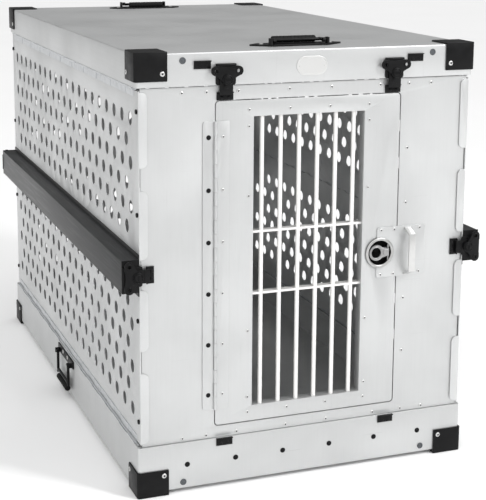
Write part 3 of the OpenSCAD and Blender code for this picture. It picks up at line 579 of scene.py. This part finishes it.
def badge():
    """oval blank plate: a raised rim round a slightly sunk field, held by two pins"""
    deselect()
    bpy.ops.mesh.primitive_circle_add(vertices=62, radius=16.5, fill_type="NGON")
    o = bpy.context.object
    for v in o.data.vertices:
        v.co.x += math.copysign(12.5, v.co.x)
    bpy.ops.object.mode_set(mode="EDIT")
    bpy.ops.mesh.select_all(action="SELECT")
    bpy.ops.mesh.extrude_region_move(TRANSFORM_OT_translate={"value": (0, 0, 1.0)})
    bpy.ops.mesh.inset(thickness=0.5, depth=0.3)
    bpy.ops.mesh.inset(thickness=1.1)
    bpy.ops.mesh.inset(thickness=0.4, depth=-0.35)
    bpy.ops.mesh.select_all(action="SELECT")
    bpy.ops.mesh.normals_make_consistent(inside=False)
    deselect()
    pins = [turned([(1.5, 0.8), (1.5, 1.2), (0.9, 1.7), (0.2, 1.8)], 16) for _ in BOTH]
    for pin, s in zip(pins, BOTH):
        pin.location.x = s * 23.5
        apply_place(pin)
    return joined(o, *pins)


plate_lo, plate_hi = (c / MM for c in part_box("name_plate"))
face = copies(badge(), "badge_blank", [place(0, front_y, (plate_lo.z + plate_hi.z) / 2, "front")])
pick(face)
bpy.ops.object.shade_smooth_by_angle(angle=math.radians(30))
fitted(face, "shell", "sheet", badge_metal, "name_plate")

# ---------- butterfly latches ----------
# Made flat: x across, y away from the keeper, z out of the face; the pivot is at the origin.

LOBE_X, LOBE_Y, LOBE_R = 20, 15, 8.5


def wings():
    """the winged key: three rounded lobes with hollowed sides, and a hub with a slotted cap"""
    key = hulled(*(drum(x, y, 7, 10, LOBE_R, 36)
                   for x, y in ((0, 0), (LOBE_X, LOBE_Y), (-LOBE_X, LOBE_Y))))
    scoops = [drum(s * 37.9, -29.7, 6, 11, 40.0, 96) for s in BOTH]
    holes = [drum(s * LOBE_X, LOBE_Y, 5, 12, 3.0, 24) for s in BOTH]
    carved(key, drum(0, LOBE_Y + LOBE_R + 58.2, 6, 11, 60.0, 128), *scoops, *holes)
    eased(key, 0.7, 3)
    # raised collars round the two finger holes
    collars = []
    for s in BOTH:
        ring = turned([(4.9, 9.6), (4.7, 10.5), (4.2, 10.8), (3.4, 10.8), (3.1, 10.3),
                       (3.0, 9.7)], 24)
        pick(ring)
        bpy.ops.object.mode_set(mode="EDIT")
        bpy.ops.mesh.select_all(action="DESELECT")
        deselect()
        for f in ring.data.polygons:
            f.select = len(f.vertices) > 4
        bpy.ops.object.mode_set(mode="EDIT")
        bpy.ops.mesh.select_mode(type="FACE")
        bpy.ops.mesh.delete(type="FACE")
        deselect()
        pick(ring).location = (s * LOBE_X, LOBE_Y, 0)
        collars.append(apply_place(ring))
    hub = turned([(9.2, 5.1), (9.3, 10.9), (8.9, 11.7), (8.2, 12.0), (7.6, 11.8), (7.4, 11.0),
                  (6.9, 10.9), (6.8, 11.9), (6.3, 12.5), (5.2, 12.8), (0.5, 13.0)], 40)
    carved(hub, block(-4.8, 4.8, -0.8, 0.8, 11.8, 14))
    pick(hub)
    bpy.ops.object.shade_smooth_by_angle(angle=math.radians(38))
    return joined(key, hub, *collars)


def hook(reach):
    """the strap: slotted round the pivot post, a cross rib, and a toe under the keeper's lip"""
    toe = -reach - 4.5
    strap = block(-12, 12, toe, 10, 2.3, 4.8)
    rounded_edges(strap, 3.0, 4, lambda a, b: along(2)(a, b) and min(a.y, b.y) > 9)
    carved(strap, drum(0, 0, 1, 6, 3.3), drum(0, 6, 1, 6, 3.3), block(-3.3, 3.3, 0, 6, 1, 6))
    eased(strap, 0.5)
    rib = block(-10.5, 10.5, 2.5 - reach, 5.0 - reach, 4.4, 5.1)
    toe_piece = block(-12, 12, toe, toe + 2.7, -0.4, 2.9)
    return joined(strap, eased(rib, 0.5, 3), eased(toe_piece, 0.4))


def latch_base():
    """the plate on the crate: round corners, a rolled stop along its top and two rivets"""
    plate = block(-18, 18, -10, 20, 0, 2)
    rounded_edges(plate, 4.0, 5, along(2))
    eased(plate, 0.4)
    stop = block(-18, 18, 16, 27, 0, 5)
    rounded_edges(stop, 2.3, 5, lambda a, b: along(0)(a, b) and min(a.z, b.z) > 4)
    eased(stop, 0.6)
    post = drum(0, 0, 0.5, 9.8, 3.0, 24)
    heads = [dome_rivet(3.0, 1.4) for _ in BOTH]
    for head, s in zip(heads, BOTH):
        head.location = (s * 13.2, 6, 2)
        apply_place(head)
    return joined(plate, stop, eased(post, 0.3), *heads)


lid_latch_lo, lid_latch_hi = (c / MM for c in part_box("lid_latch_wings_front_right"))
LATCH_X = (lid_latch_lo.x + lid_latch_hi.x) / 2
LATCH_Z = lid_latch_hi.z - LOBE_Y - LOBE_R
RAIL_X = half_w + 0.5


def latch_place(kind, end, side):
    s = 1 if side == "right" else -1
    y = front_y if end == "front" else rear_y
    if kind == "lid":
        return place(s * LATCH_X, y, LATCH_Z, end)
    return place(s * RAIL_X, y, mid_z, end, -90 * s if end == "front" else 90 * s)


LATCHES = [(kind, end, side) for kind in ("lid", "rail") for end in ("front", "rear")
           for side in ("left", "right")]


def copy_of(master, name, where):
    """one more piece like the master, with its own mesh"""
    o = master.copy()
    o.data = master.data.copy()
    bpy.context.collection.objects.link(o)
    return copies(o, name, [where])


wings_master, hook_masters = wings(), {"lid": hook(22), "rail": hook(17.5)}
for kind, end, side in LATCHES:
    where = latch_place(kind, end, side)
    node = f"{kind}_latch_wings_{end}_{side}"
    fitted(copy_of(wings_master, f"{kind}_wings_{end}_{side}", where), node, "hardware",
           powder_coat, node)
    node = f"{kind}_latch_hook_{end}_{side}"
    fitted(copy_of(hook_masters[kind], f"{kind}_strap_{end}_{side}", where), node, "hardware",
           powder_coat, node)
for master in (wings_master, *hook_masters.values()):
    bpy.data.objects.remove(master)
fitted(copies(latch_base(), "latch_bases", [latch_place(*latch) for latch in LATCHES]), "shell",
       "hardware", powder_coat, "latch_plates")

# ---------- slam latch ----------


def slam_housing():
    """round cup with a rounded bezel ring on the lock plate"""
    o = turned([(CUP_R, -14), (CUP_R, LOCK_T), (SLAM_R - 0.3, LOCK_T), (SLAM_R, 2.1),
                (SLAM_R, 2.7), (SLAM_R - 0.7, 3.4), (SLAM_R - 2.0, 3.9), (SLAM_R - 3.6, 3.9),
                (CUP_R - 1.4, 3.2), (CUP_R - 2, 2.2), (CUP_R - 2, -11.6), (CUP_R - 2.6, -12),
                (6.0, -12), (5.6, -11.2), (5.0, -11)], 96)
    carved(o, block(CUP_R - 4, CUP_R + 4, -8.3, 8.3, -12, -5.4))
    # the faces inside the cup get the painted-shade lining
    marked(o, [latch_metal, cup_painted_shade],
           lambda c: math.hypot(c.x, c.y) < CUP_R - 1.8 and -13 < c.z < 2)
    pick(o)
    bpy.ops.object.shade_smooth_by_angle(angle=math.radians(34))
    return o


def paddle():
    """keyhole-shaped lift: a round eye with a rolled rim, a neck, and a pad over its pin"""
    eye = drum(-5.5, 0, -1.2, 1.2, 14.5, 64)
    neck = hulled(drum(4, -7, -1.2, 1.2, 3, 24), drum(4, 7, -1.2, 1.2, 3, 24),
                  block(12, PIVOT_X + 2, -6, 6, -1.2, 1.2))
    modified(eye, "BOOLEAN", operation="UNION", solver="EXACT", object=neck)
    bpy.data.objects.remove(neck)
    carved(eye, drum(-6.5, 0, -3, 3, 9.5, 64))
    eased(eye, 0.5, 3)
    deselect()
    bpy.ops.mesh.primitive_torus_add(major_radius=10.8, minor_radius=1.2, major_segments=64,
                                     minor_segments=12, location=(-6.5, 0, 0.7))
    rim = apply_place(bpy.context.object)
    pick(rim)
    bpy.ops.object.shade_smooth()
    pad = block(7.5, 17.5, -5.2, 5.2, 0.8, 2.4)
    rounded_edges(pad, 1.6, 4, along(2))
    eased(pad, 0.5, 3)
    pin = turned([(1.4, -15.6), (1.4, -7.2), (2.4, -7.0), (2.4, 7.0), (1.4, 7.2), (1.4, 15.6)], 24)
    pin.rotation_euler = (math.pi / 2, 0, 0)
    pin.location = (PIVOT_X, 0, 0)
    apply_place(pin)
    pick(pin)
    bpy.ops.object.shade_smooth_by_angle(angle=math.radians(40))
    return joined(eye, rim, pad, pin)


slam_place = place(SLAM_X, panel_y, door_mid, "front")
fitted(copies(slam_housing(), "slam_cup", [slam_place]), "door", "sheet",
       [latch_metal, cup_painted_shade],
       "slam_latch_housing")
fitted(copies(paddle(), "slam_paddle", [slam_place]), "paddle", "sheet", paddle_metal,
       "slam_latch_paddle")

# ---------- folding handles ----------

LEG_X, GRIP_L, GRIP_R = 47.5, 84, 6


def bail(reach):
    """bent rod with an eye at each end and a grooved rubber grip; lies along +Y"""
    bend = 7
    deselect()
    bpy.ops.mesh.primitive_circle_add(vertices=16, radius=3, fill_type="NGON",
                                      location=(-LEG_X, 2, 0), rotation=(math.pi / 2, 0, 0))
    rod = apply_place(bpy.context.object)
    bpy.ops.object.mode_set(mode="EDIT")
    bpy.ops.mesh.select_all(action="SELECT")

    def onward(x, y):
        bpy.ops.mesh.extrude_region_move(TRANSFORM_OT_translate={"value": (x, y, 0)})

    def corner(x, y):
        bpy.ops.mesh.spin(steps=8, angle=math.pi / 2, center=(x, y, 0), axis=(0, 0, -1))

    onward(0, reach - bend - 2)
    corner(bend - LEG_X, reach - bend)
    onward(2 * (LEG_X - bend), 0)
    corner(LEG_X - bend, reach - bend)
    onward(0, bend - reach + 2)
    bpy.ops.mesh.select_all(action="SELECT")
    bpy.ops.mesh.remove_doubles(threshold=0.001)
    bpy.ops.mesh.normals_make_consistent(inside=False)
    deselect()
    pick(rod)
    bpy.ops.object.shade_smooth_by_angle(angle=math.radians(40))
    eyes = []
    for s in BOTH:
        eye = turned([(3.6, -3), (4.0, -2.6), (4.0, 2.6), (3.6, 3)], 24)
        carved(eye, drum(0, 0, -5, 5, 2.05, 20))
        eye.rotation_euler = (0, math.pi / 2, 0)
        eye.location = (s * LEG_X, 0, 0)
        eyes.append(apply_place(eye))
    # grooves 7 mm apart round the grip
    rings = [(GRIP_R - 1.4, -GRIP_L / 2), (GRIP_R - 0.3, 1 - GRIP_L / 2),
             (GRIP_R, 2.4 - GRIP_L / 2)]
    for i in range(11):
        z = 7 * (i - 5)
        rings += [(GRIP_R, z - 0.9), (GRIP_R - 0.5, z - 0.4), (GRIP_R - 0.5, z + 0.4),
                  (GRIP_R, z + 0.9)]
    rings += [(r, -z) for r, z in rings[2::-1]]
    grip = turned(rings, 28)
    grip.rotation_euler = (0, math.pi / 2, 0)
    grip.location = (0, reach, 0)
    apply_place(grip)
    pick(grip)
    bpy.ops.object.shade_smooth_by_angle(angle=math.radians(30))
    for eye in eyes:
        marked(eye, [powder_coat, grip_rubber], lambda c: False)
    marked(rod, [powder_coat, grip_rubber], lambda c: False)
    marked(grip, [powder_coat, grip_rubber], lambda c: True)
    return joined(rod, grip, *eyes)


top_lo, top_hi = (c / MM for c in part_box("front_top_handle"))
side_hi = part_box("right_side_handle")[1] / MM
TOP_PIVOT_Z = top_hi.z - GRIP_R
SIDE_PIVOT_X = side_hi.x - GRIP_R
SIDE_PIVOT_Z = side_hi.z - 4
TOP_REACH, SIDE_REACH = 27, 54                 # from the pivots to the grips
HANDLES = (
    ("front_top_handle", TOP_REACH, place(0, top_lo.y + 4, TOP_PIVOT_Z, "top")),
    ("rear_top_handle", TOP_REACH, place(0, 2 * mid_y - top_lo.y - 4, TOP_PIVOT_Z, "top", 180)),
    ("right_side_handle", SIDE_REACH, place(SIDE_PIVOT_X, mid_y, SIDE_PIVOT_Z, "right", -90)),
    ("left_side_handle", SIDE_REACH, place(-SIDE_PIVOT_X, mid_y, SIDE_PIVOT_Z, "left", 90)))
for node, reach, where in HANDLES:
    fitted(copies(bail(reach), node.replace("handle", "bail"), [where]), node, "grip",
           [powder_coat, grip_rubber], node)

# ---------- floor, light and camera ----------

deselect()
bpy.ops.mesh.primitive_plane_add(size=60, location=(0, 10, -0.0005))
floor = bpy.context.object
floor.name = "studio_floor"
floor_paint, floor_tree, floor_shader, floor_at = finish("pale_studio_floor", "f4f4f4", 0.9)
floor_tree.links.new(mixed(floor_tree, noise(floor_tree, floor_at, 900.0), linear("f6f6f6"),
                           linear("f1f1f1")), floor_shader.inputs["Base Color"])
floor.data.materials.append(floor_paint)


def area_light(name, at, towards, size, power):
    data = bpy.data.lights.new(name, "AREA")
    data.shape = "RECTANGLE"
    data.size, data.size_y = size
    data.energy = power
    o = bpy.data.objects.new(name, data)
    o.location = at
    o.rotation_euler = (Vector(towards) - Vector(at)).to_track_quat("-Z", "Y").to_euler()
    bpy.context.collection.objects.link(o)
    return o


area_light("key", (2.2, -3.0, 3.0), (0.1, -0.4, 0.3), (0.7, 0.7), 108)
area_light("front_fill", (-0.8, -4.6, 1.6), (0, 0, 0.4), (3.0, 2.4), 12)

world = bpy.data.worlds.new("soft_studio")
bpy.context.scene.world = world
world.use_nodes = True
sky = world.node_tree
sky.nodes.clear()
direction = add(sky, "ShaderNodeTexCoord").outputs["Generated"]
split = add(sky, "ShaderNodeSeparateXYZ", {0: direction})
# brighter in front of the crate, dimmer behind it
fore = spread(sky, split.outputs["Y"], -0.7, 0.8, 0.0, 1.0)
tone = mixed(sky, fore, linear("ffffff"), linear("b2b2b2"))
# a wide soft light overhead and another on the left
overhead = spread(sky, split.outputs["Z"], 0.25, 0.75, 0.27, 1.5)
left = spread(sky, split.outputs["X"], -0.25, -0.85, 0.0, 1.15)
strength = add(sky, "ShaderNodeMath", {0: overhead, 1: left}, operation="ADD").outputs[0]
background = add(sky, "ShaderNodeBackground", {"Color": tone, "Strength": strength})
sky.links.new(background.outputs[0], add(sky, "ShaderNodeOutputWorld").inputs[0])

camera_data = bpy.data.cameras.new("camera")
camera = bpy.data.objects.new("camera", camera_data)
bpy.context.collection.objects.link(camera)
camera.location = (-0.8980, -2.5852, 1.0060)
camera.rotation_euler = (math.radians(90 - 10.31), math.radians(-0.37), math.radians(-20.65))
camera_data.lens = 92.95
camera_data.sensor_width = 36
camera_data.shift_y = -0.20
camera_data.clip_end = 100
bpy.context.scene.camera = camera
bpy.context.scene.view_settings.view_transform = "Standard"
